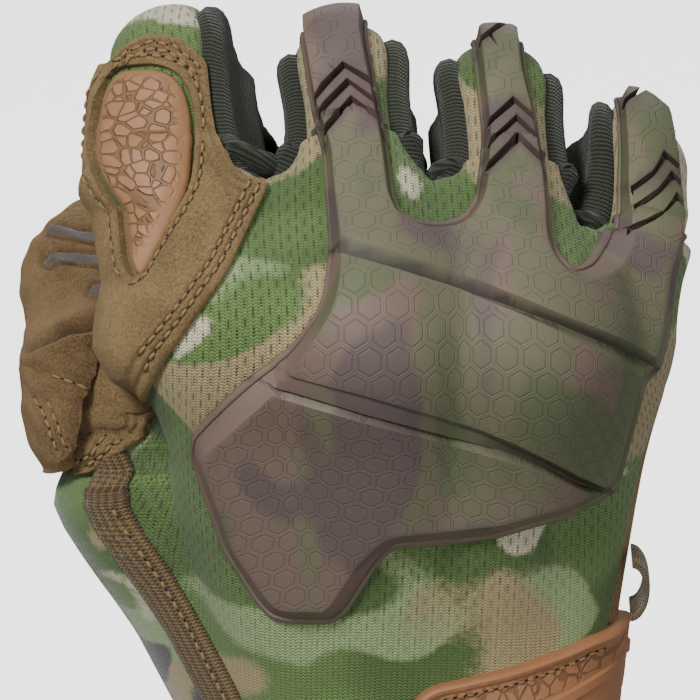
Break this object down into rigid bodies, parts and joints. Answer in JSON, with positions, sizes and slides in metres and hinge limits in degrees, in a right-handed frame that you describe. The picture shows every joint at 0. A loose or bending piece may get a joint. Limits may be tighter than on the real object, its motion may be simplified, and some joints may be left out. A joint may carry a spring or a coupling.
{
  "type": "tactical glove",
  "caption": "Right-hand full-finger tactical work glove closed into a fist, with a moulded knuckle guard, suede thumb and palm, a padded index finger and a cuff tab.",
  "frame": {"origin": "centre of the cuff's opening, where the forearm goes in", "axes": "+Z from the cuff towards the knuckles, -Y out of the back of the hand, -X to the thumb's side"},
  "size_m": [0.1124, 0.1103, 0.1636],
  "materials": {
    "camo_mesh": "woodland camouflage mesh knit",
    "camo_knit": "woodland camouflage flat knit",
    "suede": "brown suede",
    "ribbed_knit": "dark olive ribbed stretch knit",
    "pad_rubber": "matt with a pebble texture",
    "tab_rubber": "matt with a cell texture",
    "tape": "brown knitted tape",
    "guard_rubber": "matt camouflage with a hexagon texture"
  },
  "bodies": {
    "root": {"back_panel": "camo_mesh", "palm_panel": "suede", "wrist_gusset": "camo_knit", "thumb_shell": "suede", "fourchette_index_middle": "ribbed_knit", "fourchette_middle_ring": "ribbed_knit", "fourchette_ring_pinky": "ribbed_knit", "saddle_panel": "suede", "index_pad": "pad_rubber", "cuff_tape": "tape", "cuff_tab": "tab_rubber", "pull_loop": "tape", "knuckle_guard": "guard_rubber"}
  },
  "joints": []
}
